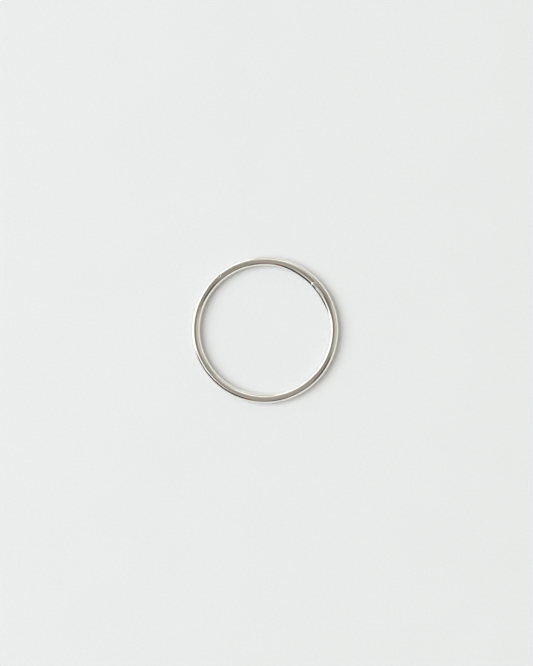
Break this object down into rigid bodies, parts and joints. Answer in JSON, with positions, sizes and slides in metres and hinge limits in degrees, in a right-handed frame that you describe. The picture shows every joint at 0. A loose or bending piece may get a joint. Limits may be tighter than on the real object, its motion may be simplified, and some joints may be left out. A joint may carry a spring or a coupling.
{
  "type": "stacking ring",
  "caption": "Thin plain finger ring of round polished wire, closed by a soldered joint, worn alone or stacked with others.",
  "frame": {"origin": "on the axis of the finger hole, at the height of the surface that the ring lies on", "axes": "+Z along the axis of the finger hole, up from the surface; +X from the axis to the side of the ring, 37 degrees clockwise of the solder joint seen from above"},
  "size_m": [0.0198, 0.0198, 0.0012],
  "materials": {
    "silver": "polished sterling silver, with fine wear marks and a duller filed stretch at the solder joint"
  },
  "bodies": {
    "root": {"band": "silver"}
  },
  "joints": []
}
